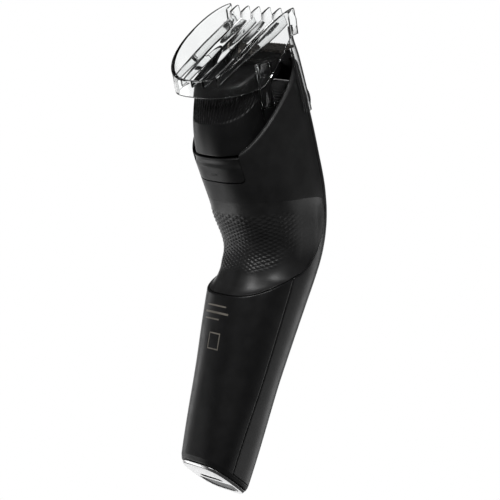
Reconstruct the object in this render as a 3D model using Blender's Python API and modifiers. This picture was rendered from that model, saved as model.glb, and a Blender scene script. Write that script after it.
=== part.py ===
"""Cordless beard trimmer with a clear length comb, a zoom wheel and a lift-off cutting head.

Lengths are in millimetres along three directions of the body: x across it, v from the front (-) to
the back (+), and s along its spine, which leans back from the base and bends further at the neck.
The object stands on its end cap at z = 0, and mesh points are written in metres.
"""

import math

import bmesh
import bpy
from mathutils import Matrix, Vector

MM = 0.001
GAP = 0.3                       # clearance between neighbouring pieces

# Spine
LEAN = math.radians(18.0)       # handle's lean from the base's normal
BEND = math.radians(32.0)       # further lean of the head
BEND_START = 77.0
BEND_RADIUS = 53.0
HEAD_START = BEND_START + BEND_RADIUS * BEND

# Body sections: distance along the spine, half width, depth to the back, depth to the front
STATIONS = (
    (-6.0, 12.0, 10.8, 10.0),
    (0.0, 12.6, 11.5, 10.3),
    (45.0, 16.6, 17.3, 11.9),
    (70.0, 18.7, 19.9, 13.4),
    (80.0, 19.1, 19.9, 14.8),
    (92.0, 19.1, 18.7, 19.0),
    (102.0, 20.0, 18.4, 21.0),
    (112.0, 20.9, 19.0, 21.8),
    (125.0, 20.9, 21.6, 21.6),
    (135.0, 20.9, 23.1, 21.2),
    (147.0, 20.9, 21.3, 20.3),
    (162.0, 20.7, 14.5, 18.7),
    (170.0, 20.5, 10.0, 17.6),
)
SQUARENESS = 2.5
FOOT_SQUARER = 0.9              # more squareness at the foot
WALL = 1.8

# Seams, by the angle round the section: 90 is the middle of the back, 270 the middle of the front
SEAM_ANGLE = 85.0               # rear cover's half width
COLLAR_ANGLE = 124.0            # head housing's half width
RIM_BACK = 68.6                 # where the grip meets the rear cover at the back
RIM_RISE = 14.0
GRIP_TOP = 115.0                # crease between the grip and the head, falling towards the front
GRIP_FALL = 6.0
BASE_EDGE = 1.2                 # rear cover's height above the base plane
FOOT_TOP = 3.0                  # top of the rear cover's foot ring
FOOT_WALL = 2.4
SCOOP_DEPTH = 2.9
SCOOP_FILLET = 9.0
SCOOP_FADE = (86.0, 108.0)
SIDE_HOLLOW = 1.2               # shallower hollow of the sides, just under the crease
SIDE_HOLLOW_LENGTH = 25.0

# Base
SLOT_HALF = 6.4                 # charging slot's half length
SLOT_Y = (0.6, 2.8)
POCKET_BACK = -0.7
POCKET_DEPTH = 0.5

# Head
COLLAR_CENTRE = 150.5           # slanted rim: s at v = 0
COLLAR_SLOPE = 0.8
COLLAR_BACK = 133.8
COLLAR_FRONT = 162.0
CUP_HALF = 15.8
CUP_SQUARENESS = 2.7
CUP_MIDDLE = 4.0
CUP_BOTTOM = 134.3
CUP_WALL = 1.5
TAB_HALF = 13.4
TAB_LOW = 123.6
TAB_HIGH = 133.4
TAB_CORNER = 1.8
TAB_THICK = 2.2

# Zoom drive
WHEEL_V = -14.4
WHEEL_S = 144.5
WHEEL_RADIUS = 7.7
WHEEL_HALF = 10.4
PINION_RADIUS = 2.4
PINION_X = (10.9, 12.5)
RACK_V = (WHEEL_V + PINION_RADIUS + GAP, -9.5)
AXLE_RADIUS = 1.2
AXLE_HALF = 13.3

# Motor drive
MOTOR_V = 4.0
CRANK = 1.2                     # eccentric pin's offset
PIN_RADIUS = 1.1

# Comb, measured in the head's frame
COMB_HALF = 20.5
COMB_WALL = 1.3
COMB_TIP = (-13.4, 181.6)
COMB_BACK = 24.6
BAND_TOP = 163.8
BAND_LOW = 157.0
TOOTH_PITCH = 6.19
TOOTH_THICK = 1.1
COMB_DROP = 3.5                 # comb's travel towards the body, with a clearance
ARM_ANGLES = (203.0, 217.0)     # front arms hug the body's front corners
ARM_SPAN = (142.5, 175.5)
ARM_THICK = 0.9

# Power button
BUTTON_S = 95.0
BUTTON_RADIUS = 5.5
LIGHT_S = 83.0

COLOURS = {
    "black": ((0.012, 0.012, 0.013), 0.42, 0.0),
    "satin": ((0.018, 0.018, 0.019), 0.35, 0.0),
    "dark_grey": ((0.07, 0.07, 0.075), 0.45, 0.0),
    "silver": ((0.62, 0.62, 0.63), 0.28, 0.9),
    "steel": ((0.5, 0.47, 0.43), 0.3, 1.0),
    "clear": ((0.9, 0.92, 0.93), 0.05, 0.0),
    "rubber": ((0.03, 0.03, 0.03), 0.7, 0.0),
    "green": ((0.03, 0.2, 0.07), 0.5, 0.0),
    "blue": ((0.05, 0.12, 0.35), 0.4, 0.0),
    "white": ((0.8, 0.8, 0.8), 0.4, 0.0),
}


def clear_scene():
    for item in list(bpy.data.objects):
        bpy.data.objects.remove(item, do_unlink=True)


def collection(name):
    made = bpy.data.collections.new(name)
    bpy.context.scene.collection.children.link(made)
    return made


# ---------------------------------------------------------------- spine and sections

def spine(s):
    """Height and depth of the spine at s, and its lean there."""
    turn = min(max((s - BEND_START) / BEND_RADIUS, 0.0), BEND)
    straight = min(s, BEND_START)
    beyond = max(s - HEAD_START, 0.0)
    lean = LEAN + turn
    y = (straight * math.sin(LEAN) + beyond * math.sin(lean)
         + BEND_RADIUS * (math.cos(LEAN) - math.cos(lean)))
    z = (straight * math.cos(LEAN) + beyond * math.cos(lean)
         + BEND_RADIUS * (math.sin(lean) - math.sin(LEAN)))
    return y, z, lean


def place(x, v, s):
    y, z, lean = spine(s)
    return Vector((x, y + v * math.cos(lean), z - v * math.sin(lean)))


def side_frame(s):
    """Frame whose x, y and z are v, s and x, straight on from the spine at s."""
    y, z, lean = spine(s)
    back = Vector((0.0, math.cos(lean), -math.sin(lean)))
    along = Vector((0.0, math.sin(lean), math.cos(lean)))
    origin = (Vector((0.0, y, z)) - along * s) * MM
    turned = Matrix((back, along, Vector((1.0, 0.0, 0.0)))).transposed().to_4x4()
    return Matrix.Translation(origin) @ turned


def station(s):
    """Half width and the two depths at s, on a smooth curve through the stations."""
    rows = STATIONS
    low = 0
    while low < len(rows) - 2 and s > rows[low + 1][0]:
        low += 1
    before = rows[max(low - 1, 0)]
    first, last = rows[low], rows[low + 1]
    after = rows[min(low + 2, len(rows) - 1)]
    span = last[0] - first[0]
    f = (s - first[0]) / span
    values = []
    for k in (1, 2, 3):
        slope_a = (last[k] - before[k]) / (last[0] - before[0]) * span
        slope_b = (after[k] - first[k]) / (after[0] - first[0]) * span
        values.append((2 * f ** 3 - 3 * f ** 2 + 1) * first[k] + (f ** 3 - 2 * f ** 2 + f) * slope_a
                      + (3 * f ** 2 - 2 * f ** 3) * last[k] + (f ** 3 - f ** 2) * slope_b)
    return values


def smooth(f):
    f = min(max(f, 0.0), 1.0)
    return f * f * (3.0 - 2.0 * f)


def superellipse(angle, half, back, front, power=SQUARENESS):
    c, d = math.cos(math.radians(angle)), math.sin(math.radians(angle))
    depth = back if d > 0 else front
    x = half * math.copysign(abs(c) ** (2.0 / power), c)
    return x, depth * math.copysign(abs(d) ** (2.0 / power), d)


def rim(angle):
    """Lower edge of the grip and head: low at the back, sweeping up to the front."""
    away = abs(angle - 90.0)
    corner = max(away - 112.0, 0.0) / 12.0
    return RIM_BACK + RIM_RISE * (away / 89.0) ** 2.3 + 5.0 * corner ** 2


def grip_top(angle):
    """Crease at the top of the grip, level at the back and falling towards the front."""
    away = max(abs(angle - 90.0) - 40.0, 0.0)
    return GRIP_TOP - GRIP_FALL * (away / 75.0) ** 1.8


def side_hollow(angle, s):
    """Shallow hollow of the sides: it starts at a sharp crease and dies out down the grip."""
    away = abs(angle - 90.0)
    width = smooth((away - 50.0) / 25.0) * (1.0 - smooth((away - 108.0) / 14.0))
    f = min(max((grip_top(angle) - s) / SIDE_HOLLOW_LENGTH, 0.0), 1.0)
    return SIDE_HOLLOW * width * 4.5 * f * (1.0 - f) ** 3


def scoop(angle, s):
    """Depth of the hollow above the rim, where the hand holds the grip."""
    round_side = 1.0 - smooth((abs(angle - 90.0) - 45.0) / 80.0)
    rise = math.sqrt(max(0.0, 1.0 - (1.0 - min(max((s - rim(angle)) / SCOOP_FILLET, 0.0), 1.0)) ** 2))
    fade = 1.0 - smooth((s - SCOOP_FADE[0]) / (SCOOP_FADE[1] - SCOOP_FADE[0]))
    return SCOOP_DEPTH * round_side * rise * fade + side_hollow(angle, s)


def section(angle, s, inset=0.0):
    half, back, front = station(s)
    squareness = SQUARENESS + FOOT_SQUARER * (1.0 - smooth(s / 45.0))
    return superellipse(angle, half - inset, back - inset, front - inset, squareness)


def skin(angle, s, inset=0.0):
    x, v = section(angle, s, inset)
    return place(x, v, s)


def base_cut(angle, height, inset=0.0):
    """Where the section's line at an angle meets the level z = height."""
    s = height
    for _ in range(6):
        _, v = section(angle, s, inset)
        s = (height + v * math.sin(LEAN)) / math.cos(LEAN)
    return s


def base_ring(height, inset, sides=48):
    """Section's line at the level z = height, as a closed ring of points."""
    angles = [360.0 * k / sides for k in range(sides)]
    return [skin(angle, base_cut(angle, height, inset), inset) for angle in angles]


def collar_top(angle):
    """The head housing's slanted rim, running out level at the back and at the front."""
    s = COLLAR_CENTRE
    for _ in range(20):
        _, v = section(angle, s)
        s = 0.5 * s + 0.5 * (COLLAR_CENTRE - COLLAR_SLOPE * v)
    ease = 1.0
    level = COLLAR_BACK + ease * math.log1p(math.exp((s - COLLAR_BACK) / ease))
    return min(level, COLLAR_FRONT)


# ---------------------------------------------------------------- mesh tools

def material(name):
    if name in bpy.data.materials:
        return bpy.data.materials[name]
    colour, rough, metal = COLOURS[name]
    made = bpy.data.materials.new(name)
    made.use_nodes = True
    node = made.node_tree.nodes["Principled BSDF"]
    node.inputs["Base Color"].default_value = (*colour, 1.0)
    node.inputs["Roughness"].default_value = rough
    node.inputs["Metallic"].default_value = metal
    if name == "clear":
        node.inputs["Transmission Weight"].default_value = 1.0
    return made


def new_object(name, mesh, look, matrix=None):
    item = bpy.data.objects.new(name, mesh)
    PARTS.objects.link(item)
    if matrix is not None:
        item.matrix_world = matrix
    if look is None:
        hide(item)
    else:
        mesh.materials.clear()
        mesh.materials.append(material(look))
    return item


def hide(item):
    """Turn an object into a guide that is not part of the model."""
    for group in list(item.users_collection):
        group.objects.unlink(item)
    CUTTERS.objects.link(item)
    item.hide_render = True
    item.display_type = "WIRE"


def from_points(name, points, faces, look):
    mesh = bpy.data.meshes.new(name)
    mesh.from_pydata([tuple(p * MM) for p in points], [], faces)
    mesh.validate()
    work = bmesh.new()
    work.from_mesh(mesh)
    bmesh.ops.remove_doubles(work, verts=work.verts, dist=1e-6)
    bmesh.ops.recalc_face_normals(work, faces=work.faces)
    work.to_mesh(mesh)
    work.free()
    mesh.shade_smooth()
    mesh.set_sharp_from_angle(angle=math.radians(35))
    return new_object(name, mesh, look)


def shell(name, columns, rows, point, look, keep=None):
    """Closed sheet between point(column, row, 0) outside and point(column, row, 1) inside.

    A cell of the grid is left out where keep(column, row) is false.
    """
    width = columns + 1
    points = [point(i, j, side) for side in (0, 1) for j in range(rows + 1) for i in range(width)]
    layer = (rows + 1) * width
    cells = [(i, j) for j in range(rows) for i in range(columns) if keep is None or keep(i, j)]
    edges = {}
    faces = []
    for i, j in cells:
        a, b = j * width + i, j * width + i + 1
        c, d = b + width, a + width
        faces.append((a, b, c, d))
        faces.append((d + layer, c + layer, b + layer, a + layer))
        for p, q in ((a, b), (b, c), (c, d), (d, a)):
            if (q, p) in edges:
                del edges[(q, p)]
            else:
                edges[(p, q)] = True
    for p, q in edges:
        faces.append((q, p, p + layer, q + layer))
    used = sorted({k for face in faces for k in face})
    renumber = {old: new for new, old in enumerate(used)}
    faces = [tuple(renumber[k] for k in face) for face in faces]
    return from_points(name, [points[k] for k in used], faces, look)


def loft(name, rings, look):
    """Closed solid through rings of equal count, capped at both ends."""
    count = len(rings[0])
    points = [p for ring in rings for p in ring]
    faces = []
    for j in range(len(rings) - 1):
        for i in range(count):
            k = (i + 1) % count
            faces.append((j * count + i, j * count + k, (j + 1) * count + k, (j + 1) * count + i))
    faces.append(tuple(range(count))[::-1])
    faces.append(tuple(range((len(rings) - 1) * count, len(rings) * count)))
    return from_points(name, points, faces, look)


# A flat outline's own x, y and z in a side frame, by the direction that it is extruded in
PLANES = {
    "x": Matrix.Identity(4),                                                        # (v, s)
    "v": Matrix(((0, 0, 1, 0), (0, 1, 0, 0), (1, 0, 0, 0), (0, 0, 0, 1))),          # (x, s)
    "s": Matrix(((0, 1, 0, 0), (0, 0, 1, 0), (1, 0, 0, 0), (0, 0, 0, 1))),          # (x, v)
}


def outline(name, frame, axis, points, low, high, look):
    """Flat outline extruded along x, v or s, from low to high."""
    curve = bpy.data.curves.new(name, "CURVE")
    curve.dimensions = "2D"
    curve.fill_mode = "BOTH"
    curve.extrude = (high - low) / 2 * MM
    line = curve.splines.new("POLY")
    line.points.add(len(points) - 1)
    for dot, (first, second) in zip(line.points, points):
        dot.co = (first * MM, second * MM, 0.0, 1.0)
    line.use_cyclic_u = True
    guide = bpy.data.objects.new(name + "_curve", curve)
    CUTTERS.objects.link(guide)
    raised = Matrix.Translation((0.0, 0.0, (low + high) / 2 * MM))
    return solid_from_curve(name, guide, frame @ PLANES[axis] @ raised, look)


def solid_from_curve(name, guide, matrix, look):
    bpy.context.view_layer.update()
    graph = bpy.context.evaluated_depsgraph_get()
    mesh = bpy.data.meshes.new_from_object(guide.evaluated_get(graph))
    bpy.data.objects.remove(guide, do_unlink=True)
    work = bmesh.new()
    work.from_mesh(mesh)
    bmesh.ops.remove_doubles(work, verts=work.verts, dist=1e-6)
    bmesh.ops.recalc_face_normals(work, faces=work.faces)
    work.to_mesh(mesh)
    work.free()
    return new_object(name, mesh, look, matrix)


def block(name, frame, x, v, s, look):
    """Box over the ranges x, v and s of a side frame."""
    work = bmesh.new()
    bmesh.ops.create_cube(work, size=1.0)
    size = Vector((v[1] - v[0], s[1] - s[0], x[1] - x[0])) * MM
    bmesh.ops.scale(work, vec=size, verts=work.verts)
    mesh = bpy.data.meshes.new(name)
    work.to_mesh(mesh)
    work.free()
    middle = Vector(((v[0] + v[1]) / 2, (s[0] + s[1]) / 2, (x[0] + x[1]) / 2)) * MM
    return new_object(name, mesh, look, frame @ Matrix.Translation(middle))


TURNS = {
    "x": Matrix.Identity(4),
    "v": Matrix.Rotation(math.radians(90), 4, "Y"),
    "s": Matrix.Rotation(math.radians(-90), 4, "X"),
}


def rod(name, frame, axis, centre, radius, length, look, sides=24):
    """Cylinder along x, v or s, centred at (x, v, s)."""
    work = bmesh.new()
    bmesh.ops.create_cone(work, cap_ends=True, segments=sides, radius1=radius * MM,
                          radius2=radius * MM, depth=length * MM)
    mesh = bpy.data.meshes.new(name)
    work.to_mesh(mesh)
    work.free()
    mesh.shade_smooth()
    mesh.set_sharp_from_angle(angle=math.radians(35))
    x, v, s = centre
    spot = Matrix.Translation(Vector((v, s, x)) * MM)
    return new_object(name, mesh, look, frame @ spot @ TURNS[axis])


def ring(name, frame, axis, centre, outer, inner, length, look, sides=24):
    """Turned ring: a closed rectangle round the axis x or s."""
    half = length / 2 * MM
    corners = ((inner * MM, half), (outer * MM, half), (outer * MM, -half), (inner * MM, -half))
    mesh = bpy.data.meshes.new(name)
    mesh.from_pydata([(r, 0.0, h) for r, h in corners], [(0, 1), (1, 2), (2, 3), (3, 0)], [])
    x, v, s = centre
    spot = Matrix.Translation(Vector((v, s, x)) * MM)
    item = new_object(name, mesh, look, frame @ spot @ TURNS[axis])
    turn = item.modifiers.new("turn", "SCREW")
    turn.axis = "Z"
    turn.steps = sides
    turn.render_steps = sides
    turn.use_merge_vertices = True
    turn.merge_threshold = 1e-5
    return item


def boolean(item, other, operation, solver="EXACT"):
    change = item.modifiers.new(operation.lower(), "BOOLEAN")
    change.operation = operation
    change.solver = solver
    change.object = other
    hide(other)


def cut(item, other):
    boolean(item, other, "DIFFERENCE")


def join(item, other, solver="EXACT"):
    boolean(item, other, "UNION", solver)


# ---------------------------------------------------------------- shells

def lerp(a, b, f):
    return a + (b - a) * f


def foot_ring():
    """Ring of the rear cover round the whole base, under the front shell."""
    ring = loft("foot_ring", [base_ring(BASE_EDGE, 0.4), base_ring(FOOT_TOP, 0.0)], None)
    inside = [base_ring(BASE_EDGE - 1.0, FOOT_WALL), base_ring(FOOT_TOP + 1.0, FOOT_WALL)]
    cut(ring, loft("foot_inside", inside, None))
    return ring


def rear_cover():
    columns, rows = 18, 10
    edge = SEAM_ANGLE - 0.6

    def point(i, j, side):
        angle = lerp(90.0 - edge, 90.0 + edge, i / columns)
        s = lerp(base_cut(angle, BASE_EDGE, WALL * side), rim(angle) - GAP, j / rows)
        return skin(angle, s, WALL * side)

    cover = shell("rear_cover", columns, rows, point, "satin")
    join(cover, foot_ring())


def front_housing():
    """Front shell, from the base to the top of the collar, narrower above the rim."""
    side_columns, front_columns = 7, 18
    columns = front_columns + 2 * side_columns
    low_rows, high_rows = 12, 9
    seam = SEAM_ANGLE + 0.6
    collar = COLLAR_ANGLE + 0.5

    def angle_at(i):
        if i <= side_columns:
            return 90.0 + lerp(seam, collar, i / side_columns)
        if i <= side_columns + front_columns:
            return lerp(90.0 + collar, 450.0 - collar, (i - side_columns) / front_columns)
        return 450.0 - lerp(collar, seam, (i - side_columns - front_columns) / side_columns)

    def point(i, j, side):
        angle = angle_at(i)
        away = min(abs(angle - 90.0), abs(450.0 - angle))
        step = rim(90.0 + min(away, collar)) - GAP
        if j <= low_rows:
            s = lerp(base_cut(angle, FOOT_TOP + GAP, WALL * side), step, j / low_rows)
        else:
            top = collar_top(angle)
            s = lerp(step, top, (j - low_rows) / high_rows)
        return skin(angle, s, WALL * side)

    def keep(i, j):
        return j < low_rows or side_columns <= i < side_columns + front_columns

    body = shell("front_housing", columns, low_rows + high_rows, point, "black", keep)
    axis = (0.0, WHEEL_V, WHEEL_S)
    cut(body, rod("wheel_window", HEAD, "x", axis, WHEEL_RADIUS + 0.4, 2 * WHEEL_HALF + 0.7, None, 48))
    cut(body, rod("pinion_pocket", HEAD, "x", axis, PINION_RADIUS + GAP, 2 * PINION_X[1] + 0.6, None))
    cut(body, rod("axle_bore", HEAD, "x", axis, AXLE_RADIUS + GAP, 2 * AXLE_HALF + 0.6, None))
    cut(body, rod("button_hole", NECK, "v", (0.0, -18.0, BUTTON_S), BUTTON_RADIUS + GAP, 10.0, None))
    light = side_frame(LIGHT_S)
    cut(body, rod("light_hole", light, "v", (0.0, -14.0, LIGHT_S), 1.5, 10.0, None, 16))


def grip_housing():
    columns, rows = 26, 12
    edge = COLLAR_ANGLE - 0.6

    def point(i, j, side):
        angle = lerp(90.0 - edge, 90.0 + edge, i / columns)
        low = rim(angle) + GAP
        s = lerp(low, grip_top(angle) - GAP / 2, (j / rows) ** 1.3)
        return skin(angle, s, scoop(angle, s) + WALL * side)

    shell("grip_housing", columns, rows, point, "black")


def tab_outline(grow, top):
    """Release tab's outline in (x, s), with round lower corners, grown by a clearance."""
    half, low, radius = TAB_HALF + grow, TAB_LOW - grow, TAB_CORNER + grow
    points = [(-half, top)]
    for k in range(10):
        left = k < 5
        turn = math.radians(180.0 + 22.5 * k if left else 157.5 + 22.5 * k)
        centre = -half + radius if left else half - radius
        points.append((centre + radius * math.cos(turn), low + radius + radius * math.sin(turn)))
    points.append((half, top))
    return points


def head_housing():
    """Collar round the head, with a notch for the release tab."""
    columns, rows = 30, 10
    edge = COLLAR_ANGLE - 0.6

    def point(i, j, side):
        angle = lerp(90.0 - edge, 90.0 + edge, i / columns)
        s = lerp(grip_top(angle) + GAP / 2, collar_top(angle), j / rows)
        return skin(angle, s, scoop(angle, s) + WALL * side)

    collar = shell("head_housing", columns, rows, point, "black")
    cut(collar, outline("tab_notch", HEAD, "v", tab_outline(GAP, 140.0), 8.0, 30.0, None))


def release_tab():
    columns, rows = 14, 5
    reach = 44.0

    def point(i, j, side):
        angle = lerp(90.0 - reach, 90.0 + reach, i / columns)
        s = lerp(TAB_LOW - 1.0, TAB_HIGH, j / rows)
        thumb = 0.5 * smooth((s - TAB_LOW - 5.0) / 2.5) if side == 0 else 0.0
        return skin(angle, s, thumb + TAB_THICK * side)

    tab = shell("release_tab", columns, rows, point, "black")
    boolean(tab, outline("tab_edge", HEAD, "v", tab_outline(0.0, 140.0), 8.0, 30.0, None), "INTERSECT")


def end_cap():
    """Silver foot: a flange on the base plane, a plug inside the shells, the charging slot and a pocket."""
    rings = (base_ring(0.0, 1.5), base_ring(0.8, 0.6), base_ring(0.81, 2.8), base_ring(3.2, 2.8))
    cap = loft("end_cap", rings, "silver")
    cut(cap, block("charging_slot", BASE, (-SLOT_HALF, SLOT_HALF), SLOT_Y, (-1.0, 4.0), None))
    pocket = loft("pocket", [base_ring(-1.0, 2.6), base_ring(POCKET_DEPTH, 2.6)], None)
    front = block("pocket_front", BASE, (-20.0, 20.0), (-20.0, POCKET_BACK), (-5.0, 5.0), None)
    boolean(pocket, front, "INTERSECT")
    cut(cap, pocket)


def charging_parts():
    low, high = SLOT_Y
    socket = block("charging_socket", BASE, (-7.3, 7.3), (low - 1.1, high + 1.1), (3.5, 8.2), "dark_grey")
    cut(socket, block("socket_cavity", BASE, (-SLOT_HALF, SLOT_HALF), SLOT_Y, (3.0, 7.2), None))
    for name, x in (("charge_pin_left", -2.0), ("charge_pin_right", 2.0)):
        rod(name, BASE, "s", (x, (low + high) / 2, 5.2), 0.6, 3.4, "steel", 12)


# ---------------------------------------------------------------- inside the handle

def handle_inside():
    rod("battery", HANDLE, "s", (0.0, 3.6, 42.0), 7.1, 48.0, "blue", 32)
    block("battery_tab_bottom", HANDLE, (-3.5, 3.5), (0.0, 7.0), (17.0, 17.6), "steel")
    block("battery_tab_top", HANDLE, (-3.5, 3.5), (0.0, 7.0), (66.4, 67.0), "steel")
    block("circuit_board", HANDLE, (-7.0, 7.0), (-7.3, -6.1), (18.0, 103.5), "green")
    block("button_switch", HANDLE, (-2.5, 2.5), (-10.3, -7.6), (97.0, 102.0), "dark_grey")
    button = rod("power_button", NECK, "v", (0.0, -18.6, BUTTON_S), BUTTON_RADIUS, 3.4, "dark_grey", 32)
    join(button, rod("button_stem", NECK, "v", (0.0, -16.6, BUTTON_S), 2.0, 1.8, None, 16))
    light = side_frame(LIGHT_S)
    rod("indicator_light", light, "v", (0.0, -14.6, LIGHT_S), 1.2, 2.6, "white", 16)
    for side, x in (("left", -6.6), ("right", 6.6)):
        screw = rod("base_screw_" + side, BASE, "s", (x, 6.4, 7.5), 1.1, 6.0, "steel", 16)
        join(screw, rod("base_screw_head_" + side, BASE, "s", (x, 6.4, 4.4), 1.8, 1.4, None, 16))


# ---------------------------------------------------------------- motor and cutting drive

def motor_drive():
    rod("motor", HEAD, "s", (0.0, MOTOR_V, 117.5), 10.0, 22.0, "steel", 32)
    rod("drive_shaft", HEAD, "s", (0.0, MOTOR_V, 132.0), 1.1, 6.2, "steel", 16)
    cam = rod("eccentric", HEAD, "s", (0.0, MOTOR_V, 136.9), 4.0, 3.0, "white", 24)
    join(cam, rod("crank_pin", HEAD, "s", (0.0, MOTOR_V + CRANK, 139.9), PIN_RADIUS, 3.4, None, 16))
    ring("drive_seal", HEAD, "s", (0.0, MOTOR_V, 133.6), 3.4, 1.6, 1.6, "rubber", 24)
    deck_points = []
    for k in range(32):
        x, v = superellipse(360.0 * k / 32, 15.4, 17.4, 7.4)
        deck_points.append((x, v))
    low, high = 130.0, 132.5
    deck = loft("motor_chassis", [[place(x, v, s) for x, v in deck_points] for s in (low, high)],
                "dark_grey")
    cut(deck, rod("shaft_hole", HEAD, "s", (0.0, MOTOR_V, 131.0), 2.4, 8.0, None, 24))
    for side in (-1, 1):
        span = sorted((side * 10.6, side * 12.4))
        join(deck, block("cradle_rib", HEAD, span, (-2.0, 10.0), (112.0, 131.0), None))
    for side, x in (("left", -11.0), ("right", 11.0)):
        rod("deck_screw_" + side, HEAD, "s", (x, 8.0, 133.4), 1.6, 1.1, "steel", 12)


def release_spring():
    """Coil between the chassis side and the release tab."""
    turns, per_turn, radius, wire, length = 4, 10, 2.2, 0.3, 3.2
    curve = bpy.data.curves.new("release_spring", "CURVE")
    curve.dimensions = "3D"
    curve.bevel_depth = wire * MM
    curve.bevel_resolution = 2
    curve.use_fill_caps = True
    line = curve.splines.new("POLY")
    count = turns * per_turn + 1
    line.points.add(count - 1)
    for k, dot in enumerate(line.points):
        turn = 2.0 * math.pi * k / per_turn
        dot.co = (length * k / (count - 1) * MM, radius * math.cos(turn) * MM,
                  radius * math.sin(turn) * MM, 1.0)
    guide = bpy.data.objects.new("release_spring_curve", curve)
    CUTTERS.objects.link(guide)
    spot = Matrix.Translation(Vector((14.4, 126.4, 0.0)) * MM)
    solid_from_curve("release_spring", guide, HEAD @ spot, "steel")


def cup_depths(s):
    """Back and front of the cutting head's cup at s, as places along v."""
    _, back, _ = station(s)
    over = max(s - 158.0, 0.0) / 7.0
    back_v = back - 0.3 - 17.0 * over ** 2.2
    front_v = lerp(-5.0, -12.3, smooth((s - 156.0) / 3.5))
    half = CUP_HALF - 0.8 * over ** 2
    return half, back_v, front_v


def cutting_head():
    columns = 36
    levels = (CUP_BOTTOM, 138.0, 143.0, 148.0, 152.0, 156.0, 158.0, 160.0, 162.0, 163.6, 164.6)

    def edge(k, s, inset):
        half, back_v, front_v = cup_depths(s)
        x, v = superellipse(360.0 * k / columns, half - inset, back_v - inset - CUP_MIDDLE,
                            CUP_MIDDLE - front_v - inset, CUP_SQUARENESS)
        return place(x, v + CUP_MIDDLE, s)

    outer = [[edge(k, s, 0.0) for k in range(columns)] for s in levels]
    cup = loft("cutting_head_housing", outer, "satin")
    hollow = [CUP_BOTTOM - 1.0] + [s - CUP_WALL for s in levels[1:]]
    inner = [[edge(k, max(s, CUP_BOTTOM), CUP_WALL) + (place(0, 0, s) - place(0, 0, max(s, CUP_BOTTOM)))
              for k in range(columns)] for s in hollow]
    cut(cup, loft("cup_hollow", inner, None))
    cut(cup, block("blade_seat", HEAD, (-30.0, 30.0), (-30.0, -6.2), (162.8, 175.0), None))
    cut(cup, block("fork_window", HEAD, (-9.0, 9.0), (-10.4, -2.0), (158.0, 168.0), None))


def toothed_outline(front, back, root, count, half):
    """Cutting plate's outline in (x, v), its teeth towards the front."""
    pitch = 2.0 * half / count
    points = [(-half, back), (-half, root)]
    for k in range(count):
        left = -half + k * pitch
        points.append((left + 0.18 * pitch, front))
        points.append((left + 0.62 * pitch, front))
        points.append((left + 0.8 * pitch, root))
        if k < count - 1:
            points.append((left + pitch, root))
    points.extend(((half, root), (half, back)))
    return points


def blades():
    fixed = toothed_outline(-14.3, -6.5, -11.6, 22, 15.4)
    outline("fixed_blade", HEAD, "s", fixed, 166.4, 167.4, "steel")
    moving = toothed_outline(-13.5, -8.0, -11.4, 20, 13.0)
    outline("moving_blade", HEAD, "s", moving, 165.3, 166.1, "steel")
    carrier = block("blade_carrier", HEAD, (-15.2, 15.2), (-12.4, -6.6), (163.1, 166.1), "dark_grey")
    cut(carrier, block("carrier_slot", HEAD, (-14.4, 14.4), (-14.0, -7.4), (165.0, 167.0), None))
    cut(carrier, block("carrier_window", HEAD, (-7.0, 7.0), (-11.4, -7.4), (160.0, 166.0), None))
    side = ((2.0, 140.2), (8.6, 140.2), (8.6, 143.0), (6.0, 146.0), (6.0, 157.0), (2.0, 160.2),
            (-7.7, 162.4), (-7.7, 164.9), (-10.2, 164.9), (-10.2, 160.8), (-1.0, 158.4), (2.0, 155.0))
    fork = outline("drive_fork", HEAD, "x", side, -3.6, 3.6, "white")
    slot = PIN_RADIUS + GAP
    cut(fork, block("fork_slot", HEAD, (-slot, slot), (1.0, 7.6), (139.0, 142.4), None))


# ---------------------------------------------------------------- zoom drive

def zoom_drive():
    centre = (0.0, WHEEL_V, WHEEL_S)
    bore = AXLE_RADIUS + 0.15
    ring("zoom_wheel", HEAD, "x", centre, WHEEL_RADIUS, bore, 2 * WHEEL_HALF, "dark_grey", 40)
    rod("wheel_axle", HEAD, "x", centre, AXLE_RADIUS, 2 * AXLE_HALF, "steel", 20)
    for side, x in (("left", -1), ("right", 1)):
        spot = (x * (PINION_X[0] + PINION_X[1]) / 2, WHEEL_V, WHEEL_S)
        width = PINION_X[1] - PINION_X[0]
        ring("pinion_" + side, HEAD, "x", spot, PINION_RADIUS, bore, width, "white", 20)
    block("detent_spring", HEAD, (-4.0, 4.0), (-6.3, -5.8), (132.8, 151.0), "steel")
    beam = block("zoom_carriage", HEAD, (-16.2, 16.2), (-11.1, -8.6), (117.0, 120.5), "dark_grey")
    for side in (-1, 1):
        rack = sorted((side * PINION_X[0], side * PINION_X[1]))
        join(beam, block("rack", HEAD, rack, RACK_V, (118.0, 147.8), None))
        arm = sorted((side * 15.2, side * 16.4))
        join(beam, block("arm", HEAD, arm, (-10.0, 6.4), (117.2, 120.3), None))
        post = sorted((side * 16.1, side * 17.4))
        join(beam, block("post", HEAD, post, (1.6, 6.6), (117.4, 148.7), None))


# ---------------------------------------------------------------- comb

def comb_plan(angle, inset):
    """Plan of the comb's band: round at the back, nearly straight towards the front."""
    if 0.0 <= angle <= 180.0:
        x, v = superellipse(angle, COMB_HALF - inset, COMB_BACK - 6.0 - inset, 0.0, 2.7)
        return x, v + 6.0
    forward = (angle - 180.0) if angle > 180.0 else -angle
    reach = forward / 60.0
    v = 6.0 - 20.4 * reach
    x = COMB_HALF - 1.5 * reach ** 2 - inset
    return (x if angle < 0.0 else -x), v


def band_back(x):
    """How far back the band's outer side lies at x."""
    return 6.0 + (COMB_BACK - 6.0) * (1.0 - (abs(x) / COMB_HALF) ** 2.7) ** (1.0 / 2.7)


def comb_top(v):
    reach = (v - COMB_TIP[0]) / (COMB_BACK - COMB_TIP[0])
    return COMB_TIP[1] - (COMB_TIP[1] - BAND_TOP) * min(max(reach, 0.0), 1.0) ** 1.6


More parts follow.
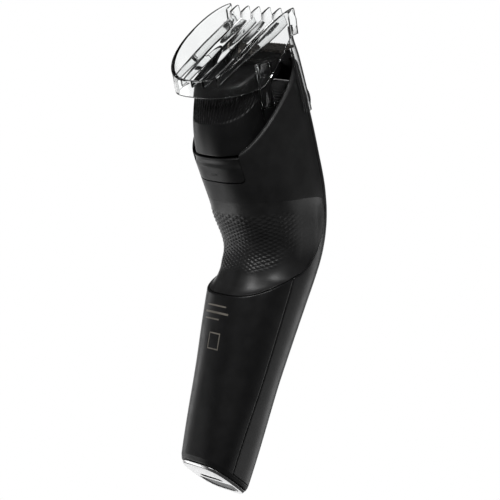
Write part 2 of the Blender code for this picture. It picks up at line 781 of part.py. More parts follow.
def comb_low(v):
    return BAND_LOW + 0.88 * 0.5 * ((6.0 - v) + math.sqrt((6.0 - v) ** 2 + 6.0))


def front_arm(side):
    """Strip along the body's front corner, clear of it at the comb's lowest place too."""
    columns, rows = 5, 9
    tuck = 0.8

    def point(i, j, layer):
        angle = lerp(*ARM_ANGLES, i / columns)
        s = lerp(*ARM_SPAN, j / rows)
        inset = -GAP - ARM_THICK * (1 - layer)
        x, v = section(angle, min(s - COMB_DROP, 166.0), inset)
        x += tuck * smooth((s - 163.0) / 9.0)
        return place(-side * x, v, s)

    return shell("front_arm", columns, rows, point, None)


def comb():
    columns = 44

    def point(i, j, side):
        angle = lerp(-60.0, 240.0, i / columns)
        x, v = comb_plan(angle, COMB_WALL * side)
        _, v_out = comb_plan(angle, 0.0)
        s = lerp(comb_low(v_out), comb_top(v_out), j / 2)
        return place(x, v, s)

    body = shell("comb", columns, 2, point, "clear")
    tooth = ((-14.7, 174.8), (-13.8, 178.2), (-13.5, 181.6), (-9.2, 180.3), (-8.6, 178.0),
             (5.4, 172.3), (14.3, 168.0), (21.6, 164.2), (23.6, 163.0), (23.6, 160.8),
             (17.0, 163.4), (8.7, 166.7), (-4.7, 170.6))
    for k in range(-2, 3):
        x = k * TOOTH_PITCH
        end = band_back(abs(x) + TOOTH_THICK / 2) - 0.5
        line = [(min(v, end), s) for v, s in tooth]
        join(body, outline("tooth", HEAD, "x", line, x - TOOTH_THICK / 2, x + TOOTH_THICK / 2, None))
    corner = ((-14.5, 171.6), (-14.9, 177.5), (-13.75, 181.0), (-11.6, 180.0), (-11.2, 171.6))
    for side in (-1, 1):
        cheek = sorted((side * 17.2, side * 18.8))
        join(body, outline("front_cheek", HEAD, "x", corner, *cheek, None), "MANIFOLD")
        join(body, front_arm(side), "MANIFOLD")
        guide = sorted((side * 16.5, side * 17.8))
        join(body, block("guide_arm", HEAD, guide, (1.3, 7.1), (149.0, 166.0), None))
        web = sorted((side * 17.0, side * 19.9))
        join(body, block("guide_web", HEAD, web, (1.3, 7.1), (161.0, 166.0), None))


clear_scene()
PARTS = collection("beard_trimmer")
CUTTERS = collection("cutters")
BASE = Matrix(((0, 0, 1, 0), (1, 0, 0, 0), (0, 1, 0, 0), (0, 0, 0, 1)))
HANDLE = side_frame(0.0)
NECK = side_frame(BUTTON_S)
HEAD = side_frame(HEAD_START + 10.0)

front_housing()
rear_cover()
grip_housing()
head_housing()
release_tab()
end_cap()
charging_parts()
handle_inside()
motor_drive()
release_spring()
cutting_head()
blades()
zoom_drive()
comb()
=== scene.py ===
"""Looks of the cordless beard trimmer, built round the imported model.

Sizes are millimetres along x, v (front - to back +) and s (along the spine), as in the model, and
meshes are written in metres. The fine shells repeat the model's surfaces with their small detail.
"""
import math

import bmesh
import bpy
from mathutils import Matrix, Vector


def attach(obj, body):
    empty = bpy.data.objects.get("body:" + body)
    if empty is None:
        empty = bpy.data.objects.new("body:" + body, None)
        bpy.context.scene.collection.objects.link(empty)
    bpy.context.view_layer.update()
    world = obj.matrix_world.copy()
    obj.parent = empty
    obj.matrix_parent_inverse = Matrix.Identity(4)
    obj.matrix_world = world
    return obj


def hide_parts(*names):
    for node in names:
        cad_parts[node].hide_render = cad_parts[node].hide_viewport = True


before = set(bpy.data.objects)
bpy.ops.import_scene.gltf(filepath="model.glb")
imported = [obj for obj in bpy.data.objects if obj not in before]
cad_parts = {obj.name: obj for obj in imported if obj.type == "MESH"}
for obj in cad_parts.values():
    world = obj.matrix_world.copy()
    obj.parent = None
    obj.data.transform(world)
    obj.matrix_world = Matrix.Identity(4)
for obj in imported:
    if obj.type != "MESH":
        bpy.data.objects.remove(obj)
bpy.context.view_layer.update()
MM = 0.001

# Spine and sections, as in the model (angles run round a section from its right side to its back)
LEAN = math.radians(18.0)
BEND = math.radians(32.0)
BEND_START = 77.0
BEND_RADIUS = 53.0
HEAD_START = BEND_START + BEND_RADIUS * BEND
STATIONS = (                    # s, half width, depth to the back, depth to the front
    (-6.0, 12.0, 10.8, 10.0),
    (0.0, 12.6, 11.5, 10.3),
    (45.0, 16.6, 17.3, 11.9),
    (70.0, 18.7, 19.9, 13.4),
    (80.0, 19.1, 19.9, 14.8),
    (92.0, 19.1, 18.7, 19.0),
    (102.0, 20.0, 18.4, 21.0),
    (112.0, 20.9, 19.0, 21.8),
    (125.0, 20.9, 21.6, 21.6),
    (135.0, 20.9, 23.1, 21.2),
    (147.0, 20.9, 21.3, 20.3),
    (162.0, 20.7, 14.5, 18.7),
    (170.0, 20.5, 10.0, 17.6),
)
SQUARENESS = 2.5
FOOT_SQUARER, FOOT_FADE = 0.9, 45.0     # more squareness at the foot, gone at this s
WALL = 1.8
SEAM = 0.12                     # half of a visible seam between shells
SEAM_ANGLE = 85.0
COLLAR_ANGLE = 124.0
RIM_BACK, RIM_RISE = 68.6, 14.0
GRIP_TOP, GRIP_FALL = 115.0, 6.0
BASE_EDGE, FOOT_TOP = 1.2, 3.0
SCOOP_DEPTH, SCOOP_FILLET, SCOOP_FADE = 2.9, 9.0, (86.0, 108.0)
SIDE_HOLLOW, SIDE_HOLLOW_LENGTH = 1.2, 25.0
SLOT_HALF, SLOT_Y, POCKET_BACK, POCKET_DEPTH = 6.4, (0.6, 2.8), -0.7, 0.5

COLLAR_CENTRE, COLLAR_SLOPE, COLLAR_BACK, COLLAR_FRONT = 150.5, 0.8, 133.8, 162.0
CUP_HALF, CUP_SQUARENESS, CUP_MIDDLE, CUP_BOTTOM, CUP_WALL = 15.8, 2.7, 4.0, 134.3, 1.5
TAB_HALF, TAB_LOW, TAB_HIGH, TAB_CORNER, TAB_THICK = 13.4, 123.6, 133.4, 1.8, 2.2
WHEEL_V, WHEEL_S, WHEEL_RADIUS, WHEEL_HALF, AXLE_BORE = -14.4, 144.5, 7.7, 10.4, 1.35
WINDOW_GAP = 0.4
BUTTON_S, BUTTON_RADIUS, LIGHT_S, LIGHT_RADIUS = 95.0, 5.5, 83.0, 1.35

COMB_HALF, COMB_WALL, COMB_TIP, COMB_BACK = 20.5, 1.3, (-13.4, 181.6), 24.6
BAND_TOP, BAND_LOW = 163.8, 157.0
TOOTH_PITCH, TOOTH_THICK, TOOTH_EDGE = 6.19, 1.1, 0.45
GUIDE_V, GUIDE_S = (1.3, 7.1), (149.0, 161.0, 166.0)      # arm's low end, web's low end, top
COMB_SQUARENESS, COMB_FLANK = 2.7, 6.0                    # band: round behind the flank's v
COMB_DROP, ARM_ANGLES, ARM_SPAN, ARM_THICK = 3.5, (203.0, 217.0), (142.5, 175.5), 0.9

# Fine detail
STUD_WIDE, STUD_TALL, STUD_HIGH = 3.8, 2.1, 0.22      # grip's diamond studs
RIB_PITCH, RIB_DEEP, RIB_FAN = 1.2, 0.24, 0.033       # ribs fanning up the cutting head's back
WHEEL_RIBS, WHEEL_RIB_DEEP = 44, 0.35

# Camera, set in the handle's own frame: z up the handle, y to its back
CAMERA_AIM = Vector((0.0, 0.008, 0.078))
CAMERA_AZIMUTH = math.radians(49.786)
CAMERA_ELEVATION = math.radians(-2.404)
CAMERA_ROLL = math.radians(14.378)
CAMERA_DISTANCE = 0.92378
CAMERA_LENS = 175.6
CAMERA_SHIFT = (0.0003, 0.0525)

# Studio: the floor, and the bright patch by the cosine from its middle
FLOOR_DROP, FLOOR_GLOW = 0.0006, 0.80
PATCH = (("From Min", 0.84), ("From Max", 0.965), ("To Min", 0.04), ("To Max", 1.15))


# ---------------------------------------------------------------- surfaces, as in the model

def lerp(a, b, f):
    return a + (b - a) * f


def smooth(f):
    f = min(max(f, 0.0), 1.0)
    return f * f * (3.0 - 2.0 * f)


def spine(s):
    turn = min(max((s - BEND_START) / BEND_RADIUS, 0.0), BEND)
    straight = min(s, BEND_START)
    beyond = max(s - HEAD_START, 0.0)
    lean = LEAN + turn
    y = (straight * math.sin(LEAN) + beyond * math.sin(lean)
         + BEND_RADIUS * (math.cos(LEAN) - math.cos(lean)))
    z = (straight * math.cos(LEAN) + beyond * math.cos(lean)
         + BEND_RADIUS * (math.sin(lean) - math.sin(LEAN)))
    return y, z, lean


def place(x, v, s):
    y, z, lean = spine(s)
    return (x, y + v * math.cos(lean), z - v * math.sin(lean))


def side_frame(s):
    """Frame whose x, y and z are v, s and x, straight on from the spine at s."""
    y, z, lean = spine(s)
    back = Vector((0.0, math.cos(lean), -math.sin(lean)))
    along = Vector((0.0, math.sin(lean), math.cos(lean)))
    origin = (Vector((0.0, y, z)) - along * s) * MM
    turned = Matrix((back, along, Vector((1.0, 0.0, 0.0)))).transposed().to_4x4()
    return Matrix.Translation(origin) @ turned


def station(s):
    rows = STATIONS
    low = 0
    while low < len(rows) - 2 and s > rows[low + 1][0]:
        low += 1
    before = rows[max(low - 1, 0)]
    first, last = rows[low], rows[low + 1]
    after = rows[min(low + 2, len(rows) - 1)]
    span = last[0] - first[0]
    f = (s - first[0]) / span
    values = []
    for k in (1, 2, 3):
        slope_a = (last[k] - before[k]) / (last[0] - before[0]) * span
        slope_b = (after[k] - first[k]) / (after[0] - first[0]) * span
        values.append((2 * f ** 3 - 3 * f ** 2 + 1) * first[k] + (f ** 3 - 2 * f ** 2 + f) * slope_a
                      + (3 * f ** 2 - 2 * f ** 3) * last[k] + (f ** 3 - f ** 2) * slope_b)
    return values


def superellipse(angle, half, back, front, power=SQUARENESS):
    c, d = math.cos(math.radians(angle)), math.sin(math.radians(angle))
    depth = back if d > 0 else front
    x = half * math.copysign(abs(c) ** (2.0 / power), c)
    return x, depth * math.copysign(abs(d) ** (2.0 / power), d)


def section(angle, s, inset=0.0):
    half, back, front = station(s)
    squareness = SQUARENESS + FOOT_SQUARER * (1.0 - smooth(s / FOOT_FADE))
    return superellipse(angle, half - inset, back - inset, front - inset, squareness)


def skin(angle, s, inset=0.0):
    x, v = section(angle, s, inset)
    return place(x, v, s)


def rim(angle):
    """Where the rear panel ends and the grip or front shell begins."""
    away = abs(angle - 90.0)
    corner = max(away - 112.0, 0.0) / 12.0
    return RIM_BACK + RIM_RISE * (away / 89.0) ** 2.3 + 5.0 * corner ** 2


def grip_top(angle):
    """Where the grip ends and the collar begins."""
    away = max(abs(angle - 90.0) - 40.0, 0.0)
    return GRIP_TOP - GRIP_FALL * (away / 75.0) ** 1.8


def side_hollow(angle, s):
    """Depth of the shallow hollow on each side below the grip's top edge."""
    away = abs(angle - 90.0)
    width = smooth((away - 50.0) / 25.0) * (1.0 - smooth((away - 108.0) / 14.0))
    f = min(max((grip_top(angle) - s) / SIDE_HOLLOW_LENGTH, 0.0), 1.0)
    return SIDE_HOLLOW * width * 4.5 * f * (1.0 - f) ** 3


def scoop(angle, s):
    """Depth of the hand's hollow over the back, with its rounded floor edge above the rim."""
    round_side = 1.0 - smooth((abs(angle - 90.0) - 45.0) / 80.0)
    rise = math.sqrt(max(0.0, 1.0 - (1.0 - min(max((s - rim(angle)) / SCOOP_FILLET, 0.0), 1.0)) ** 2))
    fade = 1.0 - smooth((s - SCOOP_FADE[0]) / (SCOOP_FADE[1] - SCOOP_FADE[0]))
    return SCOOP_DEPTH * round_side * rise * fade + side_hollow(angle, s)


def base_cut(angle, height, inset=0.0):
    """Where the section's line at an angle meets the level z = height."""
    s = height
    for _ in range(6):
        _, v = section(angle, s, inset)
        s = (height + v * math.sin(LEAN)) / math.cos(LEAN)
    return s


def collar_top(angle):
    """Slanted top edge of the collar, levelling out low at the back and high at the front."""
    s = COLLAR_CENTRE
    for _ in range(20):
        _, v = section(angle, s)
        s = 0.5 * s + 0.5 * (COLLAR_CENTRE - COLLAR_SLOPE * v)
    level = COLLAR_BACK + math.log1p(math.exp(s - COLLAR_BACK))
    return min(level, COLLAR_FRONT)


def degree_length(angle):
    """Rough length of one degree of a section's line, in mm."""
    x0, v0 = section(angle - 0.5, 95.0)
    x1, v1 = section(angle + 0.5, 95.0)
    return math.hypot(x1 - x0, v1 - v0)


def rounded(distance, radius):
    """How far a rounded edge falls away at a distance from the edge."""
    left = max(radius - max(distance, 0.0), 0.0)
    return radius - math.sqrt(max(radius * radius - left * left, 0.0))


# ---------------------------------------------------------------- mesh tools

HEAD = side_frame(HEAD_START + 10.0)
NECK = side_frame(BUTTON_S)
BASE = Matrix(((0, 0, 1, 0), (1, 0, 0, 0), (0, 1, 0, 0), (0, 0, 0, 1)))
PLANES = {
    "x": Matrix.Identity(4),                                                        # (v, s)
    "v": Matrix(((0, 0, 1, 0), (0, 1, 0, 0), (1, 0, 0, 0), (0, 0, 0, 1))),          # (x, s)
    "s": Matrix(((0, 1, 0, 0), (0, 0, 1, 0), (1, 0, 0, 0), (0, 0, 0, 1))),          # (x, v)
}


def link(name, mesh, matrix=None):
    item = bpy.data.objects.new(name, mesh)
    bpy.context.scene.collection.objects.link(item)
    if matrix is not None:
        item.matrix_world = matrix
    return item


def shade(mesh, angle=38.0):
    mesh.shade_smooth()
    mesh.set_sharp_from_angle(angle=math.radians(angle))


def outward(work):
    """Turns a closed body's faces to look out."""
    bmesh.ops.recalc_face_normals(work, faces=work.faces)
    if work.calc_volume(signed=True) < 0.0:
        bmesh.ops.reverse_faces(work, faces=work.faces)


def from_points(name, points, faces):
    mesh = bpy.data.meshes.new(name)
    mesh.from_pydata([(x * MM, y * MM, z * MM) for x, y, z in points], [], faces)
    work = bmesh.new()
    work.from_mesh(mesh)
    bmesh.ops.remove_doubles(work, verts=work.verts, dist=1e-7)
    outward(work)
    work.to_mesh(mesh)
    work.free()
    shade(mesh)
    return link(name, mesh)


def steps(count, length, edge=0.8, near=4):
    """Even steps from 0 to 1 over a length, with finer ones within an edge at both ends."""
    e = min(edge / length, 0.3)
    fine = [e * (k / near) ** 1.5 for k in range(near)]
    middle = [lerp(e, 1.0 - e, k / count) for k in range(count + 1)]
    return fine + middle + [1.0 - f for f in reversed(fine)]


def shell(name, us, vs, point, keep=None):
    """Closed sheet over a grid of two parameters, between its outer (0) and inner (1) side."""
    width, rows = len(us), len(vs)
    points = [point(u, v, side) for side in (0, 1) for v in vs for u in us]
    layer = rows * width
    edges, faces = {}, []
    for j in range(rows - 1):
        for i in range(width - 1):
            if keep is not None and not keep((us[i] + us[i + 1]) / 2, (vs[j] + vs[j + 1]) / 2):
                continue
            a = j * width + i
            quad = (a, a + 1, a + 1 + width, a + width)
            faces.append(quad)
            faces.append(tuple(k + layer for k in reversed(quad)))
            for p, q in zip(quad, quad[1:] + quad[:1]):
                if (q, p) in edges:
                    del edges[(q, p)]
                else:
                    edges[(p, q)] = True
    faces.extend((q, p, p + layer, q + layer) for p, q in edges)
    used = sorted({k for face in faces for k in face})
    renumber = {old: new for new, old in enumerate(used)}
    faces = [tuple(renumber[k] for k in face) for face in faces]
    return from_points(name, [points[k] for k in used], faces)


def loft(name, rings, loop=False):
    """Closed solid through rings of equal count, capped at both ends or run back to its first ring."""
    count, last = len(rings[0]), len(rings) - 1
    points = [p for ring in rings for p in ring]
    faces = []
    for j in range(last + 1 if loop else last):
        n = (j + 1) % len(rings)
        for i in range(count):
            k = (i + 1) % count
            faces.append((j * count + i, j * count + k, n * count + k, n * count + i))
    if not loop:
        faces.append(tuple(range(count))[::-1])
        faces.append(tuple(range(last * count, len(rings) * count)))
    return from_points(name, points, faces)


def baked(item):
    """The object with its modifiers made part of its mesh."""
    bpy.context.view_layer.update()
    graph = bpy.context.evaluated_depsgraph_get()
    mesh = bpy.data.meshes.new_from_object(item.evaluated_get(graph))
    item.modifiers.clear()
    item.data = mesh
    return item


def bevelled(item, width, segments=2, angle=30.0):
    edge = item.modifiers.new("edge", "BEVEL")
    edge.width = width * MM
    edge.segments = segments
    edge.limit_method = "ANGLE"
    edge.angle_limit = math.radians(angle)
    edge.harden_normals = False
    return baked(item)


def outline(name, frame_of, axis, points, low, high, bevel=0.0, segments=2):
    """Flat outline extruded along x, v or s, from low to high, with softened edges."""
    mesh = bpy.data.meshes.new(name)
    work = bmesh.new()
    dots = [work.verts.new((a * MM, b * MM, low * MM)) for a, b in points]
    face = work.faces.new(dots)
    raised = bmesh.ops.extrude_face_region(work, geom=[face])["geom"]
    moved = [g for g in raised if isinstance(g, bmesh.types.BMVert)]
    bmesh.ops.translate(work, verts=moved, vec=(0.0, 0.0, (high - low) * MM))
    work.transform(frame_of @ PLANES[axis])
    outward(work)
    work.to_mesh(mesh)
    work.free()
    item = link(name, mesh)
    if bevel:
        bevelled(item, bevel, segments)
    shade(item.data)
    return item


def circle(a, b, radius, count):
    """Outline points round a centre."""
    turns = [2.0 * math.pi * k / count for k in range(count)]
    return [(a + radius * math.cos(turn), b + radius * math.sin(turn)) for turn in turns]


def boolean(item, other, operation):
    """Adds, cuts or meets one closed body with another, which is used up."""
    change = item.modifiers.new(operation.lower(), "BOOLEAN")
    change.operation = operation
    change.solver = "MANIFOLD"
    change.object = other
    baked(item)
    bpy.data.objects.remove(other, do_unlink=True)
    shade(item.data)
    return item


def weld(item, other):
    """Joins another closed body into the same object."""
    work = bmesh.new()
    work.from_mesh(item.data)
    work.from_mesh(other.data)
    work.to_mesh(item.data)
    work.free()
    bpy.data.objects.remove(other, do_unlink=True)
    shade(item.data)
    return item


# ---------------------------------------------------------------- materials

class Look:
    """A node material, built step by step on one Principled shader."""

    def __init__(self, name, colour, rough, metal=0.0, **extra):
        self.made = bpy.data.materials.new(name)
        self.made.use_nodes = True
        self.tree = self.made.node_tree
        self.shader = self.tree.nodes["Principled BSDF"]
        self.shader.inputs["Base Color"].default_value = (*colour, 1.0)
        self.shader.inputs["Roughness"].default_value = rough
        self.shader.inputs["Metallic"].default_value = metal
        for key, value in extra.items():
            self.shader.inputs[key.replace("_", " ").title().replace("Ior", "IOR")].default_value = value
        self.colour, self.rough = colour, rough
        self.normal = None

    def node(self, kind, **values):
        made = self.tree.nodes.new(kind)
        for key, value in values.items():
            setattr(made, key, value)
        return made

    def wire(self, a, b):
        self.tree.links.new(a, b)

    def noise(self, scale, stretch=(1.0, 1.0, 1.0), detail=3.0):
        where = self.node("ShaderNodeTexCoord")
        move = self.node("ShaderNodeMapping")
        move.inputs["Scale"].default_value = stretch
        made = self.node("ShaderNodeTexNoise")
        made.inputs["Scale"].default_value = scale
        made.inputs["Detail"].default_value = detail
        self.wire(where.outputs["Object"], move.inputs["Vector"])
        self.wire(move.outputs["Vector"], made.inputs["Vector"])
        return made.outputs["Fac"]

    def between(self, fac, low, high, start=0.3, end=0.7):
        span = self.node("ShaderNodeMapRange")
        for key, value in (("From Min", start), ("From Max", end), ("To Min", low), ("To Max", high)):
            span.inputs[key].default_value = value
        self.wire(fac, span.inputs["Value"])
        return span.outputs["Result"]

    def tint(self, scale, other, stretch=(1.0, 1.0, 1.0), start=0.35, end=0.65):
        """Colour drifting from the base colour to another over a noise."""
        blend = self.node("ShaderNodeMix", data_type="RGBA")
        blend.inputs[6].default_value = (*self.colour, 1.0)
        blend.inputs[7].default_value = (*other, 1.0)
        self.wire(self.between(self.noise(scale, stretch), 0.0, 1.0, start, end), blend.inputs[0])
        self.wire(blend.outputs[2], self.shader.inputs["Base Color"])
        return self

    def wear(self, scale, spread, stretch=(1.0, 1.0, 1.0)):
        """Roughness drifting by a spread either way."""
        low, high = max(self.rough - spread, 0.0), self.rough + spread
        self.wire(self.between(self.noise(scale, stretch), low, high), self.shader.inputs["Roughness"])
        return self

    def grain(self, scale, depth, strength=1.0, stretch=(1.0, 1.0, 1.0)):
        """Raised grain of a depth in mm."""
        bump = self.node("ShaderNodeBump")
        bump.inputs["Distance"].default_value = depth * MM
        bump.inputs["Strength"].default_value = strength
        self.wire(self.noise(scale, stretch), bump.inputs["Height"])
        if self.normal is not None:
            self.wire(self.normal, bump.inputs["Normal"])
        self.normal = bump.outputs["Normal"]
        self.wire(self.normal, self.shader.inputs["Normal"])
        return self


def plastic(name, colour, rough, lift=1.5, grain=0.004, **extra):
    """Moulded plastic: fine even grain, faint drift of colour and shine."""
    look = Look(name, colour, rough, **extra)
    look.tint(160.0, tuple(c * lift for c in colour)).wear(220.0, 0.04)
    return look.grain(5200.0, grain).grain(260.0, 0.010, 0.6)


def metal(name, colour, rough, stretch=(1.0, 1.0, 1.0), lift=0.75, depth=0.004):
    """Machined or rolled metal, with its marks along one direction."""
    look = Look(name, colour, rough, 1.0)
    look.tint(900.0, tuple(c * lift for c in colour), stretch).wear(1300.0, 0.07, stretch)
    return look.grain(2600.0, depth, 1.0, stretch)


LOOKS = {
    "panel": plastic("satin black", (0.0105, 0.0105, 0.0110), 0.36, specular_ior_level=0.5),
    "front": plastic("front shell black", (0.0125, 0.0125, 0.0130), 0.34, specular_ior_level=0.55),
    "grip": plastic("soft grip black", (0.0185, 0.0185, 0.0188), 0.36, 1.7, 0.006, specular_ior_level=0.45),
    "collar": plastic("collar black", (0.0160, 0.0160, 0.0164), 0.42, specular_ior_level=0.45),
    "tab": plastic("tab black", (0.0130, 0.0130, 0.0134), 0.40, specular_ior_level=0.45),
    "cup": plastic("cutting head black", (0.0070, 0.0070, 0.0074), 0.40, specular_ior_level=0.42),
    "dark": plastic("dark plastic", (0.0060, 0.0060, 0.0063), 0.46, specular_ior_level=0.4),
    "wheel": plastic("wheel grey", (0.090, 0.090, 0.092), 0.45, 1.3, specular_ior_level=0.5),
    "white": plastic("white acetal", (0.68, 0.67, 0.64), 0.38, 0.9, specular_ior_level=0.5),
    "rubber": plastic("seal rubber", (0.018, 0.018, 0.018), 0.72, 1.6, 0.010),
    "button": plastic("button black", (0.013, 0.013, 0.0135), 0.33, 1.5, 0.003),
    "wrap": plastic("battery wrap", (0.020, 0.085, 0.270), 0.30, 1.25, 0.002),
    "light": plastic("light guide", (0.72, 0.74, 0.72), 0.25, 0.94, 0.001, transmission_weight=0.35),
    "ink": plastic("printed marks", (0.30, 0.275, 0.235), 0.55, 0.72, 0.003),
    "steel": metal("steel", (0.50, 0.50, 0.51), 0.28),
    "blade": metal("blade steel", (0.47, 0.42, 0.38), 0.27, (1.0, 9.0, 1.0), 0.8, 0.003),
    "silver": metal("brushed silver", (0.90, 0.90, 0.905), 0.28, (0.35, 9.0, 1.0), 0.88, 0.004),
    # painted shade: dark brushed metal standing in for the shade on the foot plate's pocket floor
    "pocket_shade": metal("brushed metal darkened as painted shade", (0.075, 0.075, 0.077), 0.38, (0.35, 9.0, 1.0), 0.7, 0.006),
    "can": metal("motor can", (0.42, 0.42, 0.43), 0.36, (1.0, 1.0, 0.15), 0.8, 0.003),
}


def board_look():
    """Green board with copper-coloured tracks under the mask."""
    look = Look("circuit board", (0.010, 0.085, 0.035), 0.32)
    return look.tint(420.0, (0.030, 0.160, 0.070), (1.0, 0.2, 3.0), 0.49, 0.52).grain(900.0, 0.02)


def clear_look():
    """Clear moulded plastic, faintly grey where it is thick, with slight flow marks."""
    look = Look("clear comb", (0.93, 0.94, 0.94), 0.02, transmission_weight=1.0, ior=1.55)
    look.wear(120.0, 0.012)
    look.tint(90.0, (0.88, 0.89, 0.89))
    return look.grain(130.0, 0.010, 0.35)


LOOKS["board"] = board_look()
LOOKS["clear"] = clear_look()


def dress(item, look):
    item.data.materials.clear()
    item.data.materials.append(LOOKS[look].made)
    for face in item.data.polygons:
        face.material_index = 0


def piece(item, look, body, slot, *nodes):
    """Finishes a piece: gives it its material, hangs it on its body and hides the nodes it stands for. The
    slot is not used.
    """
    dress(item, look)
    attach(item, body)
    if nodes:
        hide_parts(*nodes)
    return item


# ---------------------------------------------------------------- fine shells

def degrees_of(gap, angle):
    return gap / degree_length(angle)


def rear_cover():
    """Satin rear panel with rounded edges, joined to the ring round the whole foot."""
    edge = SEAM_ANGLE - degrees_of(SEAM, 90.0 + SEAM_ANGLE)
    panel = [90.0 - edge + 2.0 * edge * f for f in steps(84, 66.0)]
    ring = [90.0 + edge + (360.0 - 2.0 * edge) * f for f in steps(56, 44.0)][1:]
    foot = [f for f in steps(6, 1.8, 0.5, 4)]
    rows = foot[:-1] + [1.0 + f for f in steps(110, 68.0)]

    def point(angle, row, side):
        away = min(abs(angle - 90.0), abs(450.0 - angle))
        if row <= 1.0:
            height = lerp(BASE_EDGE, FOOT_TOP, row)
            inset = 0.4 * (1.0 - row) + rounded(height - BASE_EDGE, 0.35)
            if away > edge:
                inset += rounded(FOOT_TOP - height, 0.2)
            s = base_cut(angle, height, inset)
        else:
            top = rim(90.0 + min(away, SEAM_ANGLE)) - SEAM
            s = lerp(base_cut(angle, FOOT_TOP), top, row - 1.0)
            edge_gap = (edge - away) * degree_length(angle)
            fade = smooth((row - 1.0) * 20.0)
            inset = rounded(edge_gap, 0.32) * fade + rounded(top - s, 0.55)
        if side:
            inset = WALL
            if row <= 1.0:
                s = base_cut(angle, lerp(BASE_EDGE, FOOT_TOP, row), WALL)
        return skin(angle, s, inset)

    return shell("rear_cover_fine", panel + ring, rows, point,
                 lambda angle, row: row < 1.0 or abs(angle - 90.0) < edge)


def front_housing():
    """Front shell up to the top of the collar, narrower above the rim."""
    low = SEAM_ANGLE + degrees_of(SEAM, 90.0 + SEAM_ANGLE)
    high = COLLAR_ANGLE + degrees_of(SEAM, 90.0 + COLLAR_ANGLE)
    shoulder = [90.0 + low + (high - low) * f for f in steps(20, 26.0)]
    middle = [90.0 + high + (360.0 - 2.0 * high) * f for f in steps(70, 40.0)]
    far = [450.0 - low - (high - low) * f for f in steps(20, 26.0)][::-1]
    us = shoulder[:-1] + middle + far[1:]
    rows = steps(90, 80.0) + [1.0 + f for f in steps(80, 78.0)][1:]

    def point(angle, row, side):
        away = min(abs(angle - 90.0), abs(450.0 - angle))
        step = rim(90.0 + min(away, high)) - SEAM
        base = base_cut(angle, FOOT_TOP + SEAM, WALL * side)
        if row <= 1.0:
            s = lerp(base, step, row)
            inset = rounded((away - low) * degree_length(angle), 0.32) + rounded(s - base, 0.3)
            if away < high:
                inset += rounded(step - s, 0.4)
        else:
            top = collar_top(angle)
            s = lerp(step, top, row - 1.0)
            inset = rounded(top - s, 1.5)
            inset += rounded((away - high) * degree_length(angle), 0.3) * smooth((row - 1.0) * 30.0)
        return skin(angle, s, WALL if side else inset)

    body = shell("front_housing_fine", us, rows, point, lambda angle, row: row < 1.0
                 or min(abs(angle - 90.0), abs(450.0 - angle)) > high)
    window = circle(WHEEL_V, WHEEL_S, WHEEL_RADIUS + WINDOW_GAP, 96)
    reach = WHEEL_HALF + 0.35
    boolean(body, outline("window", HEAD, "x", window, -reach, reach), "DIFFERENCE")
    hole = circle(0.0, BUTTON_S, BUTTON_RADIUS * 1.03, 64)
    boolean(body, outline("button_hole", NECK, "v", hole, -26.0, -12.0), "DIFFERENCE")
    hole = circle(0.0, LIGHT_S, LIGHT_RADIUS, 24)
    boolean(body, outline("light_hole", side_frame(LIGHT_S), "v", hole, -22.0, -10.0), "DIFFERENCE")
    return body


def stud(across, up):
    """Height of the grip's diamond studs at a place on the lattice, from 0 to 1."""
    column = round(across / (STUD_WIDE / 2.0))
    best = 0.0
    for k in (column - 1, column, column + 1):
        aside = abs(across - k * STUD_WIDE / 2.0) / (STUD_WIDE / 2.0)
        shifted = up / STUD_TALL + 0.5 * (k % 2)
        above = abs(shifted - round(shifted)) * 2.0
        best = max(best, 1.0 - (aside + above))
    return smooth(best * 1.25)


def arc_table(s, edge):
    """Length along a section from its back middle, for each tenth of a degree."""
    table, total = [(0.0, 0.0)], 0.0
    x0, v0 = section(90.0, s)
    for k in range(1, int(edge * 10) + 1):
        x1, v1 = section(90.0 + k / 10.0, s)
        total += math.hypot(x1 - x0, v1 - v0)
        table.append((total, k / 10.0))
        x0, v0 = x1, v1
    return table


def grip_housing():
    """Soft grip: hollowed for the hand, with a field of small diamond studs."""
    edge = COLLAR_ANGLE - degrees_of(SEAM, 90.0 + COLLAR_ANGLE)
    table = arc_table(96.0, edge)
    cell = STUD_WIDE / 12.0
    half = []
    spot = 0
    reach = table[-1][0]
    count = int((reach - 0.8) / cell)
    for k in range(count + 1):
        while table[spot][0] < k * cell:
            spot += 1
        half.append((table[spot][1], k * cell))
    half.extend((edge - degrees_of(0.8 * (1 - f) ** 1.5, 90.0 + edge), reach - 0.8 * (1 - f) ** 1.5)
                for f in (0.25, 0.5, 0.7, 0.85, 0.95, 1.0))
    across = {90.0 + a: length for a, length in half}
    across.update({90.0 - a: -length for a, length in half})
    us = sorted(across)
    rows = steps(150, 46.0, 1.0, 5)

    def point(angle, row, side):
        low, top = rim(angle) + SEAM, grip_top(angle) - 0.015
        s = lerp(low, top, row)
        away = abs(angle - 90.0)
        inset = scoop(angle, s)
        if side:
            return skin(angle, s, inset + WALL)
        field = smooth((s - low - 8.5) / 5.0) * smooth((top - 4.0 - s) / 2.0)
        field *= 1.0 - smooth((away - 46.0) / 52.0)
        inset += rounded(s - low, 0.45) + rounded((edge - away) * degree_length(angle), 0.3)
        inset -= STUD_HIGH * field * stud(across[angle], s)
        return skin(angle, s, inset)

    return shell("grip_housing_fine", us, rows, point)


def head_housing():
    """Collar round the head with a slanted, rounded rim and a notch for the release tab."""
    edge = COLLAR_ANGLE - degrees_of(SEAM, 90.0 + COLLAR_ANGLE)
    us = [90.0 - edge + 2.0 * edge * f for f in steps(140, 100.0)]
    rows = steps(60, 30.0, 1.8, 8)

    def point(angle, row, side):
        low, top = grip_top(angle) + 0.015, collar_top(angle)
        s = lerp(low, top, row)
        inset = scoop(angle, s)
        if side:
            return skin(angle, s, inset + WALL - rounded(top - s, 0.3))
        away = abs(angle - 90.0)
        inset += rounded(top - s, 1.5) + rounded((edge - away) * degree_length(angle), 0.3)
        return skin(angle, s, inset)

    collar = shell("head_housing_fine", us, rows, point)
    notch = outline("notch", HEAD, "v", tab_outline(0.30, 140.0), 8.0, 30.0)
    return boolean(collar, notch, "DIFFERENCE")


